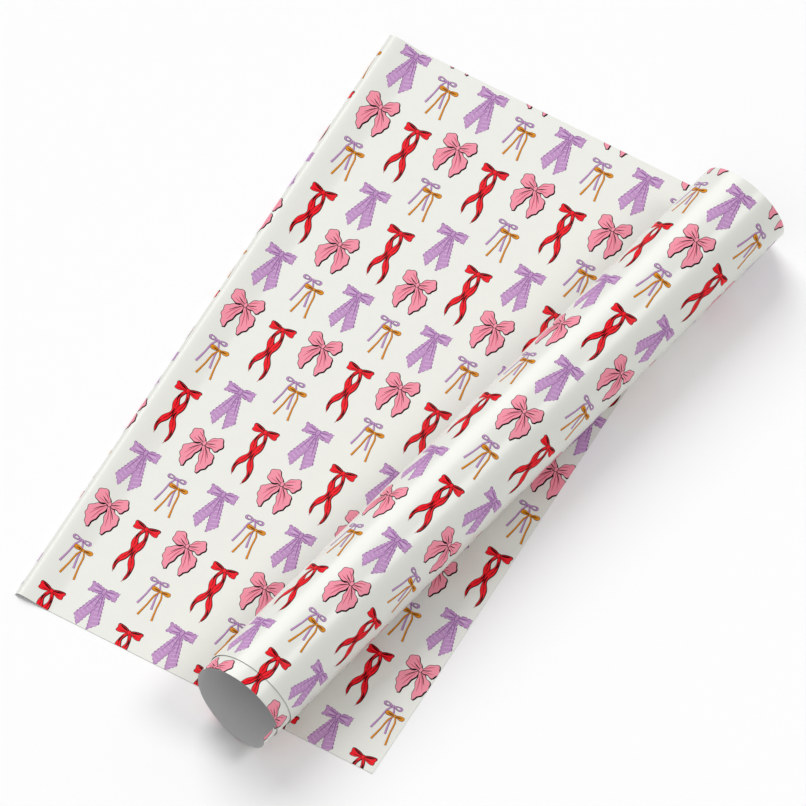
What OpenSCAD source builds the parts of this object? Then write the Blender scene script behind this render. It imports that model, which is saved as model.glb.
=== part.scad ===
// Gift wrapping paper: one sheet laid print side up, with its left edge still curled,
// and a second sheet loosely rolled, lying across it.
// Millimetres. +Z is up and +Y runs along the roll.
// The origin is on the table, straight under the middle of the roll.

/* [Paper] */
// Width the paper is made in, which is how long both sheets are
paper_l = 762; // [500:1:1000]
// Thickness of each layer
paper_t = 0.5; // [0.4:0.05:0.8]

/* [Laid sheet] */
// Width of the laid sheet as it lies, from the curled edge to the flat edge
laid_w = 420; // [380:1:500]
// Bend radius of the curled edge, measured to the top of the paper
curl_r = 7.5; // [5:0.5:20]
// How steeply the curled edge comes down to the table, in degrees
curl_angle = 70; // [50:1:80]
// Width over which the paper runs down from the top of the curl to the flat
curl_run = 36; // [24:1:60]

/* [Rolled sheet] */
// Outside diameter of the roll
roll_d = 102; // [70:1:110]
// Number of turns the paper makes from its inner edge to its outer edge
roll_turns = 2.2; // [1.2:0.05:3]
// How far each turn lies outside the one before it
wind_step = 1; // [0.9:0.05:2]
// How far each turn has slid along the roll from the one before it
wind_slide = 19.5; // [0:0.5:30]
// Where the inner edge starts, in degrees above the roll's right side
wind_start = 6; // [-60:1:60]

/* [Lay] */
// How far the laid sheet is turned from the roll, in degrees
sheet_angle = 11.3; // [0:0.1:20]
// Middle of the laid sheet, to the right of the middle of the roll
sheet_x = -142.5; // [-150:0.5:-100]
// Middle of the laid sheet, beyond the middle of the roll
sheet_y = -5; // [-60:0.5:60]
// Gap left between the roll and the sheet under it
lay_gap = 0.3; // [0.3:0.1:1]

/* [Hidden] */

paper_colour = "#ECEDE6";

// Laid sheet: its cross-section, as the line that the top of the paper follows.
curl_steps = 14;
run_steps = 12;
curl_h = curl_r * (1 - cos(curl_angle));
curl_w = curl_r * sin(curl_angle);
run_drop = curl_h - paper_t;

// The steep side, from the paper's edge on the table up to the top of the curl.
curl_line = [for (i = [0 : curl_steps])
    let (a = curl_angle * (1 - i / curl_steps))
    [curl_w - curl_r * sin(a), curl_h - curl_r * (1 - cos(a))]];

// The gentle side, a smooth S from the top of the curl down to the flat.
run_line = [for (i = [1 : run_steps])
    let (f = i / run_steps)
    [curl_w + curl_run * f, paper_t + run_drop * (1 + cos(180 * f)) / 2]];

laid_top = concat(curl_line, run_line, [[laid_w, paper_t]]);

// A line moved sideways by the paper's thickness, kept on or above the table.
function unit(v) = v / norm(v);
function tangent(line, i) =
    unit(line[min(i + 1, len(line) - 1)] - line[max(i - 1, 0)]);
function under(line, i) =
    let (t = tangent(line, i), p = line[i] + paper_t * [t.y, -t.x])
    [p.x, max(p.y, 0)];

laid_under = [for (i = [len(laid_top) - 1 : -1 : 0]) under(laid_top, i)];

// Rolled sheet: stations every 7.5 degrees around the winding.
turn_steps = 48;
stations = round(roll_turns * turn_steps);
slide_all = wind_slide * stations / turn_steps;

function station_angle(i) = wind_start - 360 * i / turn_steps;
function station_r(i) = roll_d / 2 - wind_step * (stations - i) / turn_steps;
function station_y(i) = wind_slide * i / turn_steps - (paper_l + slide_all) / 2;

// One station's four corners: outer near, outer far, inner far, inner near.
function corners(i) =
    let (c = cos(station_angle(i)), s = sin(station_angle(i)),
         r = station_r(i), q = r - paper_t, y = station_y(i))
    [[r * c, y, r * s], [r * c, y + paper_l, r * s],
     [q * c, y + paper_l, q * s], [q * c, y, q * s]];

roll_points = [for (i = [0 : stations]) each corners(i)];

// Each stretch between two stations has four sides, and the two free edges close the winding.
roll_faces = concat(
    [[3, 2, 1, 0]],
    [for (i = [0 : stations - 1], k = [0 : 3])
        let (a = 4 * i + k, b = 4 * i + (k + 1) % 4)
        [a, b, b + 4, a + 4]],
    [[for (k = [0 : 3]) 4 * stations + k]]);

// The roll's axis is as high as its lowest point needs.
roll_low = max([for (p = roll_points) -p.z]);
roll_z = paper_t + lay_gap + roll_low;

// The sheet that lies flat, with its left edge curled down to the table.
module laid_sheet() {
    color(paper_colour)
        translate([sheet_x, sheet_y, 0])
            rotate([0, 0, sheet_angle])
                translate([-laid_w / 2, paper_l / 2, 0])
                    rotate([90, 0, 0])
                        linear_extrude(paper_l)
                            polygon(concat(laid_top, laid_under));
}

// The sheet that is rolled, printed side out and open from end to end.
module rolled_sheet() {
    color(paper_colour)
        translate([0, 0, roll_z])
            polyhedron(roll_points, roll_faces);
}

laid_sheet();
rolled_sheet();
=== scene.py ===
"""Gift wrap printed with small bows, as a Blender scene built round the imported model.

A sheet lies flat with one edge still curled over, and a loosely rolled sheet lies across it.
The paper and the drawings of the bows are in millimetres. Everything placed in the scene is
in metres, in the model's frame: +Z is up, and +Y runs along the roll to its far end.
"""

import logging
import math
from bisect import bisect_right
from collections.abc import Iterator, Sequence
from dataclasses import dataclass, field
from enum import Enum

import bmesh
import bpy
from mathutils import Matrix, Vector
from mathutils.geometry import delaunay_2d_cdt


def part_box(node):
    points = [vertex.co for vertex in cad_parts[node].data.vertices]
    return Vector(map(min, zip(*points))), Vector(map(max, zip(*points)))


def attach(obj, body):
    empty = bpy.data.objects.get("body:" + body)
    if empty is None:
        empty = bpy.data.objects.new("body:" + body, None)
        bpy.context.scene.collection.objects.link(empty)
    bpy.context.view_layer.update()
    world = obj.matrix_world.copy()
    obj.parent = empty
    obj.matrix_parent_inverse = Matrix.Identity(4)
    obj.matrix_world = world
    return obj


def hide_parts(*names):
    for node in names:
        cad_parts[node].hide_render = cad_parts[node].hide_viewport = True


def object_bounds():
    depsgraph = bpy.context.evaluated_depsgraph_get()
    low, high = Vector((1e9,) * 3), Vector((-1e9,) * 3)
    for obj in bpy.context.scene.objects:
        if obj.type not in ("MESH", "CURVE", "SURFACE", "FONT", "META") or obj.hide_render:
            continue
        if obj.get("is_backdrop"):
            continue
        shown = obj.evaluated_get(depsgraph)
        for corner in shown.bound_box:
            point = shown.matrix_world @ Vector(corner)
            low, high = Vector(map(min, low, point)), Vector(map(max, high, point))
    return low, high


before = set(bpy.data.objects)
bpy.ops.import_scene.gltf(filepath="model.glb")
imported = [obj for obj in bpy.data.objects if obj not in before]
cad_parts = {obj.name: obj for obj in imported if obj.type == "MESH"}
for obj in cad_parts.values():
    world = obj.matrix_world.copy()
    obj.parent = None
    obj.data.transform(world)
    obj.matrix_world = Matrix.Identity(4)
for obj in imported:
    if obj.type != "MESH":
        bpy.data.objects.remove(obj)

log = logging.getLogger("gift_wrap")

MODEL_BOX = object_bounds()
MM = 0.001
FLAT_MAP = "flat_sheet"
SHARP_ANGLE = math.radians(40)
SAME_PLACE = 1e-4
SAME_PLANE = 0.01

Outline = list[Vector]


# Inks and paper faces -------------------------------------------------------------------


def linear(shade: Sequence[float]) -> tuple[float, float, float, float]:
    """Turns a display colour into the light that a shader works in.

    Args:
        shade: Red, green and blue, each from 0 to 255.

    Returns:
        Red, green, blue and an alpha of 1, all from 0 to 1.
    """
    parts = [part / 255 for part in shade]
    light = [p / 12.92 if p <= 0.04045 else ((p + 0.055) / 1.055) ** 2.4 for p in parts]
    return (*light, 1.0)


class Ink(Enum):
    """The inks that the bows are printed in, as display colours."""

    LILAC = (188, 144, 191)
    LILAC_DEEP = (136, 94, 146)
    LILAC_PALE = (208, 172, 212)
    LILAC_DARK = (78, 44, 92)
    PINK = (238, 146, 164)
    PINK_DEEP = (196, 84, 108)
    OUTLINE = (14, 4, 6)
    AMBER = (214, 138, 34)
    AMBER_DEEP = (104, 50, 10)
    RED = (234, 30, 42)
    RED_DEEP = (160, 12, 24)
    RED_BLACK = (34, 4, 6)


INKS = list(Ink)


@dataclass(frozen=True)
class Grain:
    """The paper's fine grain, which sets how rough a face is and raises it a little.

    Attributes:
        gloss: Mean roughness, low on the coated face.
        speckle: How far the roughness wanders with the grain.
        pitch: Grains to a metre.
        tooth: Height of the grain, in metres.
        relief: Share of that height that shows.
    """

    gloss: float
    speckle: float
    pitch: float
    tooth: float
    relief: float = 0.3

    def add(self, made: bpy.types.Material, place: bpy.types.NodeSocket) -> None:
        """Adds the grain to a material's shader.

        Args:
            made: The material.
            place: The socket that gives a point's place on the face.
        """
        nodes, links = made.node_tree.nodes, made.node_tree.links
        shader = nodes["Principled BSDF"]
        grain = nodes.new("ShaderNodeTexNoise")
        grain.inputs["Scale"].default_value = self.pitch
        grain.inputs["Detail"].default_value = 3.0
        spread = nodes.new("ShaderNodeMapRange")
        spread.inputs["To Min"].default_value = self.gloss - self.speckle
        spread.inputs["To Max"].default_value = self.gloss + self.speckle
        bump = nodes.new("ShaderNodeBump")
        bump.inputs["Strength"].default_value = self.relief
        bump.inputs["Distance"].default_value = self.tooth
        links.new(place, grain.inputs["Vector"])
        links.new(grain.outputs["Fac"], spread.inputs["Value"])
        links.new(spread.outputs["Result"], shader.inputs["Roughness"])
        links.new(grain.outputs["Fac"], bump.inputs["Height"])
        links.new(bump.outputs["Normal"], shader.inputs["Normal"])


@dataclass(frozen=True)
class PrintedInk:
    """The finish of one ink under the paper's satin coating.

    Attributes:
        ink: Which ink it is.
        strength: Share of the ink's display colour that the shader gives back.
        shine: How much light the coating over the ink reflects.
        grain: The paper's grain, as it shows through the coating.
    """

    ink: Ink
    strength: float = 0.98
    shine: float = 0.06
    grain: Grain = Grain(0.34, 0.08, 1400.0, 0.00002, 0.25)

    def material(self) -> bpy.types.Material:
        """Makes the ink's material.

        Returns:
            The material, with its colour on the shader's own socket.
        """
        made = bpy.data.materials.new(f"ink_{self.ink.name.lower()}")
        made.use_nodes = True
        nodes = made.node_tree.nodes
        shader = nodes["Principled BSDF"]
        red, green, blue, _ = linear(self.ink.value)
        tint = [part * self.strength for part in (red, green, blue)]
        shader.inputs["Base Color"].default_value = (*tint, 1.0)
        shader.inputs["Specular IOR Level"].default_value = self.shine
        place = nodes.new("ShaderNodeTexCoord")
        self.grain.add(made, place.outputs["Object"])
        return made


@dataclass(frozen=True)
class PaperFinish:
    """The finish of one face of the paper, with its fibres and slight mottle.

    Attributes:
        name: What the face is called.
        shade: Its display colour.
        cloud: Display colour of the thinner patches in the sheet.
        grain: The grain of the face.
        shine: How much light the face reflects.
        cloud_pitch: Thinner patches to a metre.
    """

    name: str
    shade: tuple[int, int, int]
    cloud: tuple[int, int, int]
    grain: Grain
    shine: float = 0.36
    cloud_pitch: float = 70.0

    def material(self) -> bpy.types.Material:
        """Makes the face's material, laid out on the flat sheet.

        Returns:
            The material.
        """
        made = bpy.data.materials.new(self.name)
        made.use_nodes = True
        nodes, links = made.node_tree.nodes, made.node_tree.links
        shader = nodes["Principled BSDF"]
        shader.inputs["Specular IOR Level"].default_value = self.shine
        place = nodes.new("ShaderNodeUVMap")
        place.uv_map = FLAT_MAP

        clouds = nodes.new("ShaderNodeTexNoise")
        clouds.inputs["Scale"].default_value = self.cloud_pitch
        clouds.inputs["Detail"].default_value = 4.0
        tint = nodes.new("ShaderNodeMix")
        tint.data_type = "RGBA"
        tint.inputs["A"].default_value = linear(self.cloud)
        tint.inputs["B"].default_value = linear(self.shade)
        links.new(place.outputs["UV"], clouds.inputs["Vector"])
        links.new(clouds.outputs["Fac"], tint.inputs["Factor"])
        links.new(tint.outputs["Result"], shader.inputs["Base Color"])
        self.grain.add(made, place.outputs["UV"])
        return made


COATED = PaperFinish("coated_face", (224, 225, 218), (221, 222, 215), Grain(0.27, 0.04, 1400.0, 0.00002))
PLAIN = PaperFinish("plain_back", (226, 226, 227), (221, 221, 222), Grain(0.62, 0.08, 1100.0, 0.00005))
# The cut edge is painted dark grey. This painted shade stands in for the thin shadow line along the
# sheets' cut edges.
CUT_EDGE_PAINTED_SHADE = PaperFinish("cut_edge_painted_shade", (150, 149, 143), (134, 133, 127), Grain(0.75, 0.10, 2600.0, 0.00005))


# Drawing the bows, in millimetres -------------------------------------------------------


def smooth(points: Sequence[Sequence[float]], steps: int, closed: bool = False) -> list[Vector]:
    """Runs an even curve through a few points.

    Args:
        points: The points, each with any number of values.
        steps: Points given back for each stretch between two of them.
        closed: Whether the last point joins the first.

    Returns:
        Points along the curve.
    """
    marks = [Vector(point) for point in points]
    count = len(marks)
    spans = count if closed else count - 1
    line = []
    for span in range(spans):
        around = [span - 1, span, span + 1, span + 2]
        if closed:
            a, b, c, d = (marks[i % count] for i in around)
        else:
            a, b, c, d = (marks[min(max(i, 0), count - 1)] for i in around)
        for step in range(steps):
            t = step / steps
            line.append(
                0.5 * (2 * b + (c - a) * t + (2 * a - 5 * b + 4 * c - d) * t**2
                       + (3 * b - a - 3 * c + d) * t**3)
            )
    if not closed:
        line.append(marks[-1])
    return line


def lobe(points: Sequence[Sequence[float]], steps: int = 2) -> Outline:
    """Makes a rounded closed patch.

    Args:
        points: The patch's main points, in order round it.
        steps: Corners given back for each of them.

    Returns:
        The patch's outline.
    """
    return smooth(points, steps, closed=True)


def band(points: Sequence[Sequence[float]], steps: int = 2) -> Outline:
    """Makes a stretch of ribbon that follows a line.

    Args:
        points: X, Y and half the ribbon's width, at points along its middle.
        steps: Corners on each side for each stretch between two of them.

    Returns:
        The ribbon's outline.
    """
    line = smooth(points, steps)
    left, right = [], []
    for i, point in enumerate(line):
        ahead = line[min(i + 1, len(line) - 1)] - line[max(i - 1, 0)]
        side = Vector((-ahead.y, ahead.x)).normalized() * point.z
        left.append(point.xy + side)
        right.append(point.xy - side)
    return left + right[::-1]


def oval(x: float, y: float, width: float, height: float, corners: int = 8) -> Outline:
    """Makes an upright oval.

    Args:
        x: Its middle, across.
        y: Its middle, up.
        width: Its full width.
        height: Its full height.
        corners: Corners round it.

    Returns:
        The oval's outline.
    """
    turns = [2 * math.pi * i / corners for i in range(corners)]
    return [Vector((x + width / 2 * math.cos(a), y + height / 2 * math.sin(a))) for a in turns]


def turning(outline: Outline) -> float:
    """Tells which way round an outline runs.

    Args:
        outline: The outline.

    Returns:
        1 if it runs anticlockwise and -1 if it runs clockwise.
    """
    count = len(outline)
    area = sum(outline[i].cross(outline[(i + 1) % count]) for i in range(count))
    return 1.0 if area > 0 else -1.0


def grown(outline: Outline, by: float, more: float = 0.0, toward: Sequence[float] = (1, 0)) -> Outline:
    """Moves an outline outward, to leave an inked edge round a patch.

    Args:
        outline: The patch's outline.
        by: Width of the edge all round.
        more: Width added on one side.
        toward: The direction that side faces.

    Returns:
        The larger outline.
    """
    count = len(outline)
    turn = turning(outline)
    heavy = Vector(toward).normalized()
    moved = []
    for i, point in enumerate(outline):
        ahead = outline[(i + 1) % count] - outline[i - 1]
        out = Vector((ahead.y, -ahead.x)).normalized() * turn
        moved.append(point + out * (by + more * max(0.0, out.dot(heavy))))
    return moved


def shrunk(outline: Outline, share: float) -> Outline:
    """Scales an outline about its own middle.

    Args:
        outline: The outline.
        share: Its new size, as a share of the old one.

    Returns:
        The smaller outline.
    """
    middle = sum(outline, Vector((0, 0))) / len(outline)
    return [middle + (corner - middle) * share for corner in outline]


def frayed(outline: Outline, pitch: float, depth: float) -> Outline:
    """Gives an outline the short teeth of a woven edge.

    Args:
        outline: The patch's outline.
        pitch: Distance between two teeth.
        depth: How far the teeth stand in and out.

    Returns:
        The toothed outline.
    """
    edge = []
    for i, start in enumerate(outline):
        step = outline[(i + 1) % len(outline)] - start
        teeth = max(1, round(step.length / pitch))
        side = Vector((step.y, -step.x)).normalized() * depth
        for tooth in range(teeth):
            sway = side if (i + tooth) % 2 else -side
            edge.append(start + step * (tooth / teeth) + (sway if tooth else Vector((0, 0))))
    return edge


def ruffled(outline: Outline, waves: int, depth: float) -> Outline:
    """Gives an outline even ruffles.

    Args:
        outline: The patch's outline, with a few points for each ruffle.
        waves: How many ruffles go round it.
        depth: How far they stand in and out.

    Returns:
        The ruffled outline.
    """
    count = len(outline)
    edge = []
    for i, point in enumerate(outline):
        ahead = outline[(i + 1) % count] - outline[i - 1]
        out = Vector((ahead.y, -ahead.x)).normalized()
        edge.append(point + out * depth * math.sin(2 * math.pi * waves * i / count))
    return edge


def both_sides(points: Sequence[Sequence[float]]) -> list[list[tuple[float, ...]]]:
    """Gives a left-hand shape and the right-hand shape that mirrors it.

    Args:
        points: Points of the left-hand shape, X first.

    Returns:
        The points of the left and of the right shape.
    """
    return [[tuple(point) for point in points], [(-x, *rest) for x, *rest in points]]


@dataclass(frozen=True)
class Layer:
    """One flat patch of a drawing. A later layer covers the ones before it.

    Attributes:
        outline: The patch's corners.
        ink: What it is printed in, or None where bare paper shows through.
    """

    outline: Outline
    ink: Ink | None


def edged(
    shape: Outline, inks: tuple[Ink, Ink], by: float, more: float = 0.0, toward: Sequence[float] = (1, 0)
) -> list[Layer]:
    """Makes a patch with an inked edge round it.

    Args:
        shape: The patch's outline.
        inks: Its ink, and the ink of its edge.
        by: Width of the edge all round.
        more: Width added on one side.
        toward: The direction that side faces.

    Returns:
        The edge, and the patch that covers its middle.
    """
    plain, deep = inks
    return [Layer(grown(shape, by, more, toward), deep), Layer(shape, plain)]


class Bow:
    """A printed bow. A kind of bow draws its own layers, and has a width and a height."""

    width: float
    height: float

    def layers(self) -> list[Layer]:
        """Returns the bow's patches, the lowest first, at about its size."""
        raise NotImplementedError

    def fitted(self) -> list[Layer]:
        """Scales the patches to the bow's width and height, about their middle.

        Returns:
            The scaled patches.
        """
        drawn = self.layers()
        xs = [corner.x for layer in drawn for corner in layer.outline]
        ys = [corner.y for layer in drawn for corner in layer.outline]
        middle = Vector((max(xs) + min(xs), max(ys) + min(ys))) / 2
        across = self.width / (max(xs) - min(xs))
        up = self.height / (max(ys) - min(ys))
        fitted = []
        for layer in drawn:
            moved = [corner - middle for corner in layer.outline]
            outline = [Vector((corner.x * across, corner.y * up)) for corner in moved]
            fitted.append(Layer(outline, layer.ink))
        return fitted

    def flat_faces(self, folds: Sequence[float]) -> bmesh.types.BMesh:
        """Turns the patches into flat faces that meet edge to edge.

        Args:
            folds: Where the paper under the bow bends, across from its middle.

        Returns:
            The faces, each with its ink's number, cut along the bends.
        """
        drawn = self.fitted()
        corners, rings = [], []
        for layer in drawn:
            ring = list(range(len(corners), len(corners) + len(layer.outline)))
            rings.append(ring if turning(layer.outline) > 0 else ring[::-1])
            corners += layer.outline
        inside = 1
        found = delaunay_2d_cdt(corners, [], rings, inside, SAME_PLACE, True)
        points, triangles, sources = found[0], found[2], found[5]
        flat = bmesh.new()
        verts = [flat.verts.new((point.x, point.y, 0.0)) for point in points]
        for triangle, source in zip(triangles, sources):
            ink = drawn[max(source)].ink if source else None
            if ink is not None:
                face = flat.faces.new([verts[i] for i in triangle])
                face.material_index = INKS.index(ink)
        loose = [vert for vert in flat.verts if not vert.link_faces]
        bmesh.ops.delete(flat, geom=loose, context="VERTS")
        flat.normal_update()
        bmesh.ops.dissolve_limit(
            flat, angle_limit=SAME_PLANE, verts=flat.verts[:], edges=flat.edges[:], delimit={"MATERIAL"}
        )
        for fold in folds:
            everything = flat.verts[:] + flat.edges[:] + flat.faces[:]
            bmesh.ops.bisect_plane(
                flat, geom=everything, plane_co=(fold, 0, 0), plane_no=(1, 0, 0)
            )
        return flat


@dataclass
class BroadBow(Bow):
    """A plain bow of broad woven ribbon, with two square loops and two slanting tails.

    Attributes:
        tooth: Distance between two teeth of the woven edge.
        fray: How far the teeth stand in and out.
        edge: Width of the darker edge.
        ribs: Paler ribs across each tail.
    """

    width: float = 32.5
    height: float = 54.0
    tooth: float = 2.1
    fray: float = 0.45
    edge: float = 0.62
    ribs: int = 7

    def layers(self) -> list[Layer]:
        """Returns the bow's patches, the lowest first."""
        tail = [(-14.2, -35.0), (-5.4, -46.0), (2.0, -20.0), (1.8, -3.0), (-3.2, -3.0), (-6.6, -12.0)]
        loop = [
            (-1.2, 3.2), (-6.0, 5.4), (-15.6, 5.8), (-14.4, 0.0), (-15.6, -5.8), (-6.0, -5.4),
            (-1.2, -3.2),
        ]
        patches = []
        for shape in (*both_sides(tail)[::-1], *both_sides(loop)):
            outline = [Vector(corner) for corner in shape]
            patches.append(Layer(frayed(outline, self.tooth, self.fray), Ink.LILAC_DEEP))
            inner = grown(outline, -self.edge)
            patches.append(Layer(frayed(inner, self.tooth, self.fray), Ink.LILAC))
        patches += self.weave() + self.folds()
        knot = frayed(oval(0.0, 0.0, 4.4, 7.6), self.tooth, 0.3)
        return [*patches, Layer(grown(knot, 0.3), Ink.LILAC_DEEP), Layer(grown(knot, -0.4), Ink.LILAC)]

    def weave(self) -> list[Layer]:
        """Returns the paler ribs that cross the tails."""
        ribs = []
        for i in range(self.ribs):
            share = i / (self.ribs - 1)
            x, y = -2.6 - 6.6 * share, -9.0 - 28.0 * share
            for rib in both_sides([(x - 3.0, y + 0.2, 0.4), (x + 2.8, y - 2.4, 0.4)]):
                ribs.append(Layer(band(rib, 1), Ink.LILAC_PALE))
        return ribs

    def folds(self) -> list[Layer]:
        """Returns the folds that gather the loops and tails into the knot."""
        dark = [
            [(-2.0, 1.2, 0.3), (-6.5, 2.2, 0.65), (-11.6, 3.2, 0.1)],
            [(-2.0, -1.2, 0.3), (-6.4, -2.2, 0.6), (-10.8, -3.4, 0.1)],
            [(-1.8, -5.0, 0.3), (-4.8, -16.0, 0.45), (-8.0, -28.0, 0.1)],
        ]
        pale = [(-3.6, 0.0, 0.2), (-8.4, 0.0, 0.8), (-12.6, 0.0, 0.2)]
        folds = [Layer(band(line), Ink.LILAC_PALE) for line in both_sides(pale)]
        folds += [Layer(band(line), Ink.LILAC_DEEP) for fold in dark for line in both_sides(fold)]
        crease = band([(0.0, -4.0, 0.3), (0.0, -12.0, 0.5), (0.0, -20.0, 0.3)])
        return [*folds, Layer(crease, Ink.LILAC_DEEP)]


@dataclass
class RuffledBow(Bow):
    """A plain full bow with ruffled edges and a dark outline.

    Attributes:
        edge: Width of the outline all round.
        heavy: Width added to it on one side.
        ruffle: How far the ruffles stand in and out.
    """

    width: float = 38.5
    height: float = 49.5
    edge: float = 0.6
    heavy: float = 1.3
    ruffle: float = 0.75

    def layers(self) -> list[Layer]:
        """Returns the bow's patches, the lowest first."""
        tail = [
            (-0.4, -1.0), (-8.4, -4.6), (-17.2, -10.4), (-17.6, -19.0), (-14.0, -27.0), (-8.6, -33.8),
            (-5.8, -24.0), (-2.0, -12.0),
        ]
        loop = [
            (-0.8, 1.6), (-5.6, 8.4), (-12.4, 13.0), (-17.8, 9.4), (-18.4, 2.6), (-14.6, -2.6),
            (-7.0, -1.8), (-0.8, -1.2),
        ]
        inks = (Ink.PINK, Ink.OUTLINE)
        patches = []
        for points, waves in ((tail, 8), (loop, 6)):
            for shape in both_sides(points):
                patch = ruffled(lobe(shape, 4), waves, self.ruffle)
                patches += edged(patch, inks, self.edge, self.heavy, (0.9, -0.5))
        patches += self.folds()
        knot = oval(0.0, 0.0, 3.6, 5.4)
        return patches + edged(knot, inks, 0.4, 0.4, (1, -0.4))

    def folds(self) -> list[Layer]:
        """Returns the folds that run out from the knot."""
        dark = [
            [(-1.8, 0.4, 0.3), (-6.4, 2.2, 0.6), (-11.0, 4.6, 0.15)],
            [(-1.4, -2.2, 0.3), (-7.6, -8.0, 0.5), (-12.0, -14.0, 0.15)],
        ]
        soft = [
            [(-2.2, 2.4, 0.15), (-6.8, 6.8, 0.55), (-11.6, 9.4, 0.15)],
            [(-2.4, -0.4, 0.15), (-8.6, 0.2, 0.5), (-14.2, 1.4, 0.15)],
            [(-1.8, -4.0, 0.15), (-5.8, -13.0, 0.6), (-8.8, -24.0, 0.2)],
            [(-3.0, -4.0, 0.15), (-8.6, -11.6, 0.5), (-13.0, -20.0, 0.15)],
        ]
        folds = [Layer(band(line), Ink.PINK_DEEP) for fold in soft for line in both_sides(fold)]
        return folds + [Layer(band(line), Ink.OUTLINE) for fold in dark for line in both_sides(fold)]


@dataclass
class TwinBow(Bow):
    """Two plain bows of thin ribbon, an amber one over a lilac one."""

    width: float = 29.0
    height: float = 47.0

    def layers(self) -> list[Layer]:
        """Returns the bows' patches, the lowest first."""
        lilac = self.thin_bow((-3.6, 19.0), 31.0, (Ink.LILAC, Ink.LILAC_DARK), True)
        return lilac + self.thin_bow((3.6, 10.2), 33.4, (Ink.AMBER, Ink.AMBER_DEEP), False)

    def thin_bow(
        self, knot: Sequence[float], drop: float, inks: tuple[Ink, Ink], hollow: bool
    ) -> list[Layer]:
        """Draws one of the two bows.

        Args:
            knot: Where its knot is.
            drop: Length of its tails.
            inks: Its ink, and the ink of its edges and folds.
            hollow: Whether the paper shows through its loops.

        Returns:
            Its patches, the lowest first.
        """
        deep = inks[1]
        tail = [
            (-0.8, -0.6, 0.5), (-4.2, -0.2 * drop, 0.8), (-5.6, -0.55 * drop, 0.7), (-8.6, -drop, 1.0)
        ]
        loop = [(-0.8, 0.4), (-4.6, 2.3), (-9.6, 2.7), (-11.2, 0.4), (-9.2, -1.7), (-4.6, -1.4)]
        fold = [(-1.6, 0.2, 0.3), (-4.6, 0.3, 0.75), (-8.4, 0.5, 0.25)]
        patches = []
        for side in both_sides(tail):
            patches += edged(band(side), inks, 0.15, 0.4, (1, -0.2))
        for side in both_sides(loop):
            shape = lobe(side)
            patches += edged(shape, inks, 0.35, 0.25, (0, -1))
            if hollow:
                patches += [Layer(shrunk(shape, 0.6), deep), Layer(shrunk(shape, 0.44), None)]
        if not hollow:
            patches += [Layer(band(side), deep) for side in both_sides(fold)]
        patches += edged(oval(0.0, 0.2, 2.6, 3.2, 6), inks, 0.3)
        place = Vector(knot)
        return [Layer([corner + place for corner in patch.outline], patch.ink) for patch in patches]


@dataclass
class StreamerBow(Bow):
    """A plain small bow with two long streamers that wave evenly.

    Attributes:
        edge: Width of the dark edge all round.
        heavy: Width added to it on one side.
        sway: How far the streamers swing aside.
        waves: How many times they do.
        inks: The ribbon's ink, and the ink of its edges.
    """

    width: float = 29.6
    height: float = 72.0
    edge: float = 0.5
    heavy: float = 0.7
    sway: float = 2.4
    waves: float = 1.5
    inks: tuple[Ink, Ink] = (Ink.RED, Ink.RED_BLACK)

    def layers(self) -> list[Layer]:
        """Returns the bow's patches, the lowest first."""
        loop = [
            (-1.0, 1.4), (-6.0, 3.8), (-12.0, 5.0), (-14.6, 4.0), (-13.6, 0.2), (-14.0, -3.8),
            (-9.0, -4.0), (-4.2, -2.0), (-1.0, -1.2),
        ]
        fold = [(-2.0, 0.8, 0.3), (-6.6, 2.4, 1.1), (-12.2, 4.2, 0.4)]
        crease = [(-2.0, -0.6, 0.2), (-6.4, -1.2, 0.6), (-10.8, -1.8, 0.2)]
        patches = []
        for side, start, end in ((-1, (-1.0, -1.0), (-6.6, -61.0)), (1, (1.2, -1.0), (9.0, -67.0))):
            patches += self.streamer(side, Vector(start), Vector(end))
        for side in both_sides(loop):
            patches += edged(lobe(side), self.inks, self.edge, self.heavy, (0.3, 1))
        patches += [Layer(band(side), Ink.RED_DEEP) for side in both_sides(crease)]
        patches += [Layer(band(side), Ink.RED_BLACK) for side in both_sides(fold)]
        return patches + edged(oval(0.0, 0.0, 4.2, 5.2), self.inks, 0.4, 0.4, (0, 1))

    def streamer(self, side: int, start: Vector, end: Vector) -> list[Layer]:
        """Draws one streamer, wide where it faces out and narrow where it turns over.

        Args:
            side: -1 for the left streamer and 1 for the right one, which mirrors its waves.
            start: Where it leaves the knot.
            end: Where its tip is.

        Returns:
            Its patches, the lowest first.
        """
        def at(share: float, aside: float, half: float) -> tuple[float, float, float]:
            """Gives a point of the streamer, moved aside, and half a ribbon's width."""
            middle = start.lerp(end, share)
            swing = side * math.sin(2 * math.pi * self.waves * share) * self.sway
            return middle.x + swing + aside, middle.y, half

        steps = 16
        line = []
        for i in range(steps + 1):
            facing = math.cos(2 * math.pi * self.waves * i / steps) ** 2
            taper = min(1.0, 0.35 + 3 * i / steps, 0.06 + 5 * (1 - i / steps))
            line.append(at(i / steps, 0.0, (1.5 + 1.7 * facing) * taper))
        patches = edged(band(line), self.inks, self.edge, self.heavy, (1, -0.4))
        for turn in range(round(2 * self.waves)):
            middle = (turn + 0.5) / (2 * self.waves)
            aside = -0.5 * side if turn % 2 else 0.5 * side
            fold = [at(middle - 0.09, 0, 0.2), at(middle, aside, 0.9), at(middle + 0.09, 0, 0.2)]
            crease = [
                at(middle + 0.07, 0.6, 0.2), at(middle + 0.15, 0.4, 0.55), at(middle + 0.22, 0, 0.15)
            ]
            patches += [Layer(band(fold), Ink.RED_BLACK), Layer(band(crease), Ink.RED_DEEP)]
        return patches


@dataclass(frozen=True)
class Row:
    """One bow of a column, by its distance from the sheet's far edge in the first repeat."""

    bow: Bow
    down: float


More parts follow.
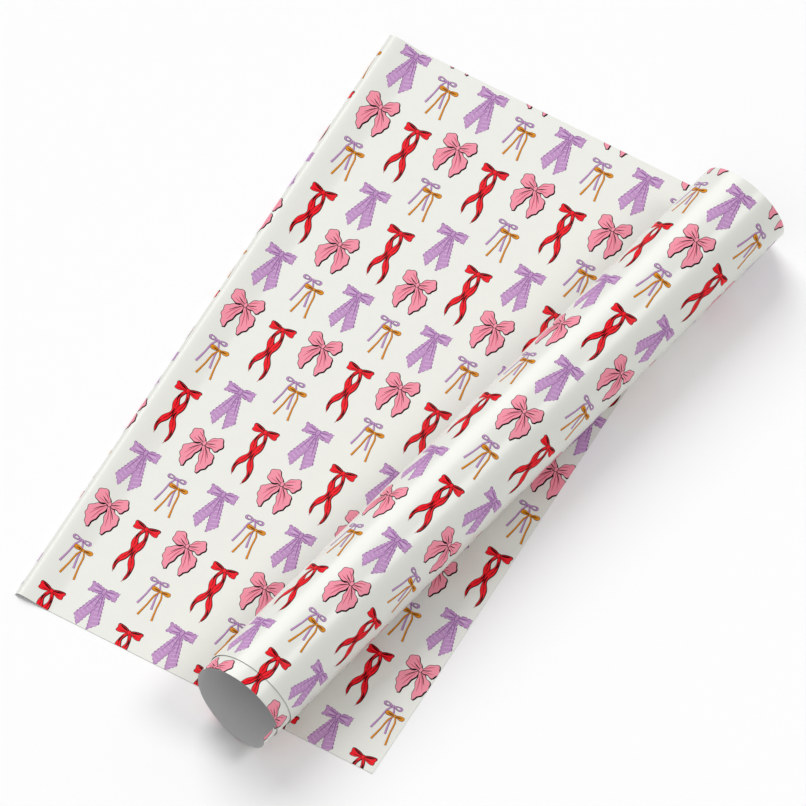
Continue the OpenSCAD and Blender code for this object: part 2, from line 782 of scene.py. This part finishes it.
@dataclass
class BowPrint:
    """The repeating print: upright columns of four bows, every other column moved down.

    Attributes:
        column_gap: Distance between one column and the next.
        repeat: Length after which a column starts again.
        shift: How much further down the bows of every other column are.
        drop: How much lower each column is printed than the one to its left.
        rows: The four bows of a repeat.
    """

    column_gap: float = 46.42
    repeat: float = 272.6
    shift: float = 160.4
    drop: float = 1.12
    rows: tuple[Row, ...] = (
        Row(BroadBow(), 28.5), Row(RuffledBow(), 89.2), Row(TwinBow(), 149.8), Row(StreamerBow(), 226.0)
    )

    def places(self, first: float, width: float, length: float) -> Iterator[tuple[Bow, float, float]]:
        """Goes through every bow that reaches onto a sheet.

        Args:
            first: Distance from the sheet's first edge to a column that isn't moved down.
            width: The sheet's flat width.
            length: The sheet's length.

        Yields:
            Each bow, how far across the sheet its middle is, and how far down from the far edge.
        """
        margin = self.repeat / 2
        start = math.floor(-(first + margin) / self.column_gap)
        for column in range(start, math.ceil((width + margin - first) / self.column_gap)):
            across = first + column * self.column_gap
            moved = (self.shift if column % 2 else 0.0) + self.drop * column
            for row in self.rows:
                down = (row.down + moved + margin) % self.repeat - margin
                while down < length + margin:
                    if -row.bow.width < across < width + row.bow.width:
                        yield row.bow, across, down
                    down += self.repeat


# Bending a flat sheet -------------------------------------------------------------------


@dataclass
class Bend:
    """How a flat sheet is bent about lines that all run the same way.

    Attributes:
        run: The direction of the lines, from the near edge to the far edge.
        lines: How far across the flat sheet each line is, in metres.
        feet: Where each line meets the near edge, on the printed face.
        ups: Which way the printed face looks at each line.
    """

    run: Vector
    lines: list[float] = field(default_factory=list)
    feet: list[Vector] = field(default_factory=list)
    ups: list[Vector] = field(default_factory=list)

    def add(self, across: float, foot: Vector, up: Vector) -> None:
        """Adds the next line, further across the sheet than the last.

        Args:
            across: How far across the flat sheet it is.
            foot: Where it meets the near edge.
            up: Which way the printed face looks there.
        """
        self.lines.append(across)
        self.feet.append(foot)
        self.ups.append(up)

    def place(self, across: float, along: float, lift: float = 0.0) -> tuple[Vector, Vector]:
        """Finds where a point of the flat sheet is once the sheet is bent.

        Args:
            across: How far across the flat sheet the point is.
            along: How far it is from the near edge.
            lift: How far it is above the printed face.

        Returns:
            Its place, and which way the printed face looks there.
        """
        i = min(max(bisect_right(self.lines, across) - 1, 0), len(self.lines) - 2)
        share = (across - self.lines[i]) / (self.lines[i + 1] - self.lines[i])
        up = self.ups[i].lerp(self.ups[i + 1], share).normalized()
        foot = self.feet[i].lerp(self.feet[i + 1], share)
        return foot + self.run * along + up * lift, up


@dataclass(frozen=True)
class Window:
    """A stretch of a flat sheet on which the print is made, in millimetres.

    Attributes:
        left: Its left side, across the sheet.
        right: Its right side.
        bottom: Its near end.
        top: Its far end.
        shift: How far the print is moved on it, across and up.
    """

    left: float
    right: float
    bottom: float
    top: float
    shift: tuple[float, float] = (0.0, 0.0)


@dataclass
class Wrap:
    """A sheet of printed wrap: its paper, and the ink on it.

    Attributes:
        name: What the pieces' names start with.
        node: The solid in the model that the sheet stands for.
        body: The body that it moves with.
        slot: Name of its material slot; not used.
        held: How the sheet is held; not used.
        rests_on: Names of the pieces that it lies on.
        length: Its length from the near edge to the far edge.
        thickness: Thickness of the paper.
        rows: How many lengths the paper's faces are divided into.
        first_column: How far across the flat sheet a column of bows is.
        first_row: How far down the first repeat starts.
        stretch: Length of a repeat on this sheet, as a share of the pattern's.
        lean: How far the columns drift to the left, for each unit of length down the sheet.
        ink_lift: How far the ink's outer face is above the paper.
        ink_depth: Thickness of the ink.
    """

    name: str
    node: str
    body: str
    slot: str
    held: str
    rests_on: tuple[str, ...] = ()
    length: float = 762.0
    thickness: float = 0.3
    rows: int = 30
    first_column: float = 0.0
    first_row: float = 0.0
    stretch: float = 1.0
    lean: float = 0.0072
    ink_lift: float = 0.06
    ink_depth: float = 0.045

    def flat_width(self) -> float:
        """Returns the sheet's width before it was bent."""
        raise NotImplementedError

    def bend(self) -> Bend:
        """Returns how the sheet is bent."""
        raise NotImplementedError

    def folds(self) -> list[float]:
        """Returns the lines that the print is cut along, in millimetres across the sheet."""
        raise NotImplementedError

    def windows(self) -> list[Window]:
        """Returns the stretches that the print is made on."""
        return [Window(0.0, self.flat_width(), 0.0, self.length)]

    def paper(self, bend: Bend) -> bpy.types.Object:
        """Makes the paper: a flat grid, bent line by line, with its thickness behind it.

        Args:
            bend: How the sheet is bent.

        Returns:
            The paper's object.
        """
        bpy.ops.object.select_all(action="DESELECT")
        columns = len(bend.lines) - 1
        bpy.ops.mesh.primitive_grid_add(x_subdivisions=columns, y_subdivisions=self.rows, size=1)
        paper = bpy.context.object
        paper.name = paper.data.name = f"{self.name}_paper"
        mesh = paper.data
        mesh.uv_layers[0].name = FLAT_MAP
        flat = []
        for vert in mesh.vertices:
            across = bend.lines[round((vert.co.x + 0.5) * columns)]
            along = round((vert.co.y + 0.5) * self.rows) / self.rows * self.length * MM
            vert.co = bend.place(across, along)[0]
            flat.append((across, along))
        for loop in mesh.loops:
            mesh.uv_layers[0].data[loop.index].uv = flat[loop.vertex_index]
        for finish in (COATED, PLAIN, CUT_EDGE_PAINTED_SHADE):
            mesh.materials.append(finish.material())
        wall = paper.modifiers.new("thickness", "SOLIDIFY")
        wall.thickness = self.thickness * MM
        wall.offset = -1.0
        wall.material_offset = 1
        # The rim takes the third finish, the dark cut edge painted as the shadow line under the sheet's
        # edge.
        wall.material_offset_rim = 2
        bpy.ops.object.modifier_apply(modifier=wall.name)
        bpy.ops.object.shade_smooth_by_angle(angle=SHARP_ANGLE)
        return paper

    def ink(self, bend: Bend, pattern: BowPrint) -> bpy.types.Object:
        """Makes the ink: thin closed patches that follow the bent paper.

        Args:
            bend: How the sheet is bent.
            pattern: The print.

        Returns:
            The ink's object.
        """
        corners, ups, faces, inks = [], [], [], []
        drawings: dict[tuple, bmesh.types.BMesh] = {}
        for window in self.windows():
            first_column = self.first_column + window.shift[0]
            for bow, across, down in pattern.places(first_column, self.flat_width(), self.length):
                down = self.first_row + down * self.stretch
                across -= self.lean * (down - self.length / 2)
                along = self.length - down + window.shift[1]
                local = Window(
                    window.left - across, window.right - across, window.bottom - along, window.top - along
                )
                half_width, half_height = bow.width / 2, bow.height / 2
                if local.left > half_width or local.right < -half_width:
                    continue
                if local.bottom > half_height or local.top < -half_height:
                    continue
                near = [fold - across for fold in self.folds() if abs(fold - across) < half_width]
                key = (type(bow).__name__, tuple(round(fold, 2) for fold in near))
                if key not in drawings:
                    drawings[key] = bow.flat_faces(near)
                drawing = trimmed(drawings[key], local)
                first = len(corners)
                for vert in drawing.verts:
                    place, up = bend.place(
                        (across + vert.co.x) * MM, (along + vert.co.y) * MM, self.ink_lift * MM
                    )
                    corners.append(place)
                    ups.append(up)
                for face in drawing.faces:
                    faces.append([first + vert.index for vert in face.verts])
                    inks.append(face.material_index)
                drawing.free()
        for drawing in drawings.values():
            drawing.free()
        mesh = bpy.data.meshes.new(f"{self.name}_print")
        mesh.from_pydata(corners, [], faces)
        for ink in INKS:
            mesh.materials.append(PrintedInk(ink).material())
        mesh.polygons.foreach_set("material_index", inks)
        mesh.polygons.foreach_set("use_smooth", [True] * len(faces))
        ink_piece = bpy.data.objects.new(mesh.name, mesh)
        bpy.context.collection.objects.link(ink_piece)
        bpy.ops.object.select_all(action="DESELECT")
        ink_piece.select_set(True)
        bpy.context.view_layer.objects.active = ink_piece
        wall = ink_piece.modifiers.new("thickness", "SOLIDIFY")
        wall.thickness = self.ink_depth * MM
        wall.offset = -1.0
        bpy.ops.object.modifier_apply(modifier=wall.name)
        facing = ups + [-up for up in ups]
        if len(facing) == len(ink_piece.data.vertices):
            ink_piece.data.normals_split_custom_set_from_vertices(facing)
        return ink_piece

    def build(self, pattern: BowPrint) -> None:
        """Makes the sheet's paper and ink, hangs them on its body and hides the model's solid for it.

        Args:
            pattern: The print.
        """
        bend = self.bend()
        paper = self.paper(bend)
        ink = self.ink(bend, pattern)
        for piece in (paper, ink):
            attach(piece, self.body)
            count = sum(len(face.vertices) - 2 for face in piece.data.polygons)
            log.info("%s: %d triangles", piece.name, count)
        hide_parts(self.node)
        flat = (self.flat_width() * MM, self.length * MM)
        list(self.rests_on)


def trimmed(drawing: bmesh.types.BMesh, window: Window) -> bmesh.types.BMesh:
    """Copies a drawing and cuts away what lies outside a window.

    Args:
        drawing: The drawing's flat faces.
        window: The window, in the drawing's own place.

    Returns:
        The copy, in triangles, with its corners numbered.
    """
    copy = drawing.copy()
    sides = [
        ((1, 0, 0), window.right),
        ((-1, 0, 0), -window.left),
        ((0, 1, 0), window.top),
        ((0, -1, 0), -window.bottom),
    ]
    for side, reach in sides:
        way = Vector(side)
        if max(vert.co.dot(way) for vert in copy.verts) > reach:
            everything = copy.verts[:] + copy.edges[:] + copy.faces[:]
            bmesh.ops.bisect_plane(
                copy, geom=everything, plane_co=way * reach, plane_no=way, clear_outer=True
            )
        if not copy.verts:
            break
    bmesh.ops.triangulate(copy, faces=copy.faces[:])
    copy.verts.index_update()
    return copy


@dataclass
class LaidWrap(Wrap):
    """The sheet that lies flat, with its left edge curled down to the table.

    Attributes:
        width: Its width as it lies.
        curl_radius: Bend radius of the curl.
        curl_angle: How steeply the curled edge comes down, in degrees.
        curl_run: Width over which the paper runs down from the curl to the flat.
        flat_height: Height of the printed face where the sheet is flat.
        turn: How far the sheet is turned from the roll, in degrees.
        curl_gap: Distance between two bend lines on the curl.
        flat_gap: Distance between two lines on the flat.
    """

    name: str = "laid"
    node: str = "laid_sheet"
    body: str = "laid"
    slot: str = "laid_paper"
    held: str = "laid"
    first_column: float = 36.1
    width: float = 420.0
    curl_radius: float = 7.5
    curl_angle: float = 70.0
    curl_run: float = 36.0
    flat_height: float = 0.5
    turn: float = 11.3
    curl_gap: float = 0.93
    flat_gap: float = 9.3

    def profile(self) -> list[tuple[float, float, float]]:
        """Follows the printed face from the curled edge to the flat.

        Returns:
            At close steps: how far the point is along the paper, across the table, and up.
        """
        steep = math.radians(self.curl_angle)
        steps = 120
        points = []
        for i in range(steps):
            a = steep * (1 - i / steps)
            up = self.curl_radius * (math.cos(a) - math.cos(steep))
            points.append((self.curl_radius * (math.sin(steep) - math.sin(a)), up))
        crest = self.curl_radius * (1 - math.cos(steep))
        for i in range(steps + 1):
            fall = (1 + math.cos(math.pi * i / steps)) / 2
            across = self.curl_radius * math.sin(steep) + self.curl_run * i / steps
            points.append((across, self.flat_height + (crest - self.flat_height) * fall))
        line, travelled = [(0.0, *points[0])], 0.0
        for before, after in zip(points, points[1:]):
            travelled += math.dist(before, after)
            line.append((travelled, *after))
        return line

    def flat_width(self) -> float:
        """Returns the sheet's width before it was bent."""
        travelled, across, _ = self.profile()[-1]
        return travelled + self.width - across

    def folds(self) -> list[float]:
        """Returns the bend lines on the curl and its run."""
        end = self.profile()[-1][0]
        return [i * self.curl_gap for i in range(math.ceil(end / self.curl_gap) + 1)]

    def bend(self) -> Bend:
        """Returns how the sheet lies on the table."""
        low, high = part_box(self.node)
        middle = (Vector(low) + Vector(high)) / 2
        spin = Matrix.Rotation(math.radians(self.turn), 3, "Z")
        bend = Bend(run=spin @ Vector((0, 1, 0)))
        profile = self.profile()
        lines = self.folds()
        while lines[-1] + self.flat_gap < self.flat_width():
            lines.append(lines[-1] + self.flat_gap)
        lines.append(self.flat_width())
        for line in lines:
            i = min(bisect_right([step[0] for step in profile], line), len(profile) - 1)
            before, after = profile[i - 1], profile[i]
            share = min((line - before[0]) / (after[0] - before[0]), 1.0)
            beyond = max(line - profile[-1][0], 0.0)
            across = before[1] + (after[1] - before[1]) * share + beyond
            height = before[2] + (after[2] - before[2]) * share
            slope = Vector((after[1] - before[1], 0, after[2] - before[2])).normalized()
            if beyond > 0:
                slope = Vector((1, 0, 0))
            foot = spin @ Vector((across - self.width / 2, -self.length / 2, height)) * MM
            foot += Vector((middle.x, middle.y, 0))
            bend.add(line * MM, foot, spin @ Vector((-slope.z, 0, slope.x)))
        return bend


@dataclass
class RolledWrap(Wrap):
    """The sheet that is loosely rolled, printed side out and open from end to end.

    Attributes:
        diameter: Outside diameter of the roll.
        turns: Number of turns from the inner edge to the outer edge.
        step_out: How far each turn lies outside the one before it.
        slide: How far each turn has slid along the roll from the one before it.
        start: Where the inner edge is, in degrees above the roll's right side.
        line_gap: Distance between two bend lines.
        mouth: How deep into the near end the print of the inner turns is made.
        match: Where the turns' prints line up exactly, in degrees above the right side.
    """

    name: str = "rolled"
    node: str = "rolled_sheet"
    body: str = "rolled"
    slot: str = "rolled_paper"
    held: str = "folded"
    rests_on: tuple[str, ...] = ("laid_paper",)
    first_column: float = 564.6
    first_row: float = 9.5
    stretch: float = 0.982
    lean: float = -0.0045
    diameter: float = 102.0
    turns: float = 2.208
    step_out: float = 1.0
    slide: float = 19.5
    start: float = 6.0
    line_gap: float = 4.642
    mouth: float = 60.0
    match: float = 55.0

    def inner_radius(self) -> float:
        """Returns the radius at the inner edge."""
        return self.diameter / 2 - self.step_out * self.turns

    def flat_width(self) -> float:
        """Returns the sheet's width before it was rolled."""
        return self.along_paper(2 * math.pi * self.turns)

    def folds(self) -> list[float]:
        """Returns the bend lines, all the way round."""
        count = math.floor(self.flat_width() / self.line_gap)
        return [i * self.line_gap for i in range(count + 1)]

    def along_paper(self, wound: float) -> float:
        """Returns how far across the flat sheet a point is, from its angle round the roll."""
        return self.inner_radius() * wound + self.step_out / (4 * math.pi) * wound**2

    def windows(self) -> list[Window]:
        """Lists where the print is made: all the outer turn, and the mouth of the others.

        Each inner turn carries the outer turn's print on into the mouth, in line with it.

        Returns:
            One window for each turn, the outer one first.
        """
        turn = 2 * math.pi
        end = turn * self.turns
        seen = math.radians(self.start - self.match) + turn * math.floor(self.turns)
        windows = []
        for inward in range(math.ceil(self.turns)):
            right = self.along_paper(end - turn * inward)
            left = self.along_paper(max(end - turn * (inward + 1), 0.0))
            across = self.along_paper(seen - turn * inward) - self.along_paper(seen)
            depth = self.mouth if inward else self.length
            windows.append(Window(left, right, 0.0, depth, (across, self.slide * inward)))
        return windows

    def bend(self) -> Bend:
        """Returns how the sheet is wound."""
        rate = self.step_out / (2 * math.pi)
        start = self.inner_radius()
        low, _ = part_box(self.node)
        bend = Bend(run=Vector((0, 1, 0)))
        for line in [*self.folds(), self.flat_width()]:
            wound = (math.sqrt(start**2 + 2 * rate * line) - start) / rate
            angle = math.radians(self.start) - wound
            out = Vector((math.cos(angle), 0, math.sin(angle)))
            foot = out * (start + rate * wound) * MM
            foot.y = low[1] + self.slide * wound / (2 * math.pi) * MM
            bend.add(line * MM, foot, out)
        rise = low[2] - min(foot.z for foot in bend.feet)
        for foot in bend.feet:
            foot.z += rise
        return bend


# Studio ---------------------------------------------------------------------------------


@dataclass(frozen=True)
class Softbox:
    """A large soft light, far enough away to light everything evenly.

    Attributes:
        name: What it is called.
        towards: Which way it is from the roll.
        spread: How wide it looks, in degrees.
        strength: How strongly it lights a face turned to it.
    """

    name: str
    towards: tuple[float, float, float]
    spread: float
    strength: float

    def build(self) -> None:
        """Adds the light."""
        data = bpy.data.lights.new(self.name, "SUN")
        data.angle = math.radians(self.spread)
        data.energy = self.strength
        light = bpy.data.objects.new(self.name, data)
        light.rotation_euler = Vector(self.towards).to_track_quat("Z", "Y").to_euler()
        bpy.context.collection.objects.link(light)


@dataclass
class Studio:
    """The pale floor, the soft light and the camera.

    Attributes:
        azimuth: Which way the camera looks, in degrees from +Y.
        elevation: How steeply it looks down, in degrees.
        distance: How far away it is.
        view_width: Width of what it sees.
        look_at: The place on the table that it looks at.
        fill: Brightness of the light from all round.
        floor_size: Width of the floor.
        floor_shade: Display colour of the floor.
        lights: The soft lights.
    """

    azimuth: float = 41.3
    elevation: float = 60.0
    distance: float = 36.0
    view_width: float = 0.8227
    look_at: tuple[float, float] = (-0.1254, 0.0095)
    fill: float = 0.44
    floor_size: float = 24.0
    floor_shade: tuple[int, int, int] = (245, 245, 245)
    lights: tuple[Softbox, ...] = (
        Softbox("key_light", (-0.60, 0.38, 0.69), 37.0, 1.72),
        Softbox("edge_light", (0.50, 0.38, 0.78), 20.0, 0.82),
        Softbox("front_light", (0.05, -0.42, 0.90), 50.0, 0.18),
    )

    def build(self) -> None:
        """Builds the studio and makes its camera the scene's camera."""
        self.floor()
        self.fill_light()
        for light in self.lights:
            light.build()
        self.camera()
        bpy.context.scene.view_settings.view_transform = "Standard"

    def floor(self) -> None:
        """Lays a plain pale floor under the sheets."""
        bpy.ops.object.select_all(action="DESELECT")
        bpy.ops.mesh.primitive_plane_add(size=self.floor_size)
        floor = bpy.context.object
        floor.name = "floor"
        made = bpy.data.materials.new("pale_floor")
        made.use_nodes = True
        shader = made.node_tree.nodes["Principled BSDF"]
        shader.inputs["Base Color"].default_value = linear(self.floor_shade)
        shader.inputs["Roughness"].default_value = 0.9
        shader.inputs["Specular IOR Level"].default_value = 0.1
        floor.data.materials.append(made)
        floor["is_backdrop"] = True

    def fill_light(self) -> None:
        """Lights the scene evenly from all round."""
        world = bpy.data.worlds.new("fill_light")
        world.use_nodes = True
        sky = world.node_tree.nodes["Background"]
        sky.inputs["Color"].default_value = (1.0, 1.0, 1.0, 1.0)
        sky.inputs["Strength"].default_value = self.fill
        bpy.context.scene.world = world

    def camera(self) -> None:
        """Sets up the camera with a long lens, so that far edges keep their size."""
        target = Vector((*self.look_at, 0))
        turn, tilt = math.radians(self.azimuth), math.radians(self.elevation)
        back = Vector(
            (math.sin(turn) * math.cos(tilt), -math.cos(turn) * math.cos(tilt), math.sin(tilt))
        )
        data = bpy.data.cameras.new("camera")
        data.sensor_width = 36.0
        data.lens = data.sensor_width * self.distance / self.view_width
        camera = bpy.data.objects.new("camera", data)
        camera.location = target + back * self.distance
        camera.rotation_euler = back.to_track_quat("Z", "Y").to_euler()
        bpy.context.collection.objects.link(camera)
        bpy.context.scene.camera = camera


def write_sizes() -> None:
    """Turns the model's box and the box of what is shown into plain lists."""
    boxes = {"model": MODEL_BOX, "shown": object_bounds()}
    {name: [list(corner) for corner in box] for name, box in boxes.items()}


def main() -> None:
    """Builds the studio, then the laid sheet, then the roll on top of it."""
    logging.basicConfig(level=logging.INFO, format="%(name)s: %(message)s")
    Studio().build()
    pattern = BowPrint()
    for wrap in (LaidWrap(), RolledWrap()):
        wrap.build(pattern)
    write_sizes()


if __name__ == "__main__":
    main()
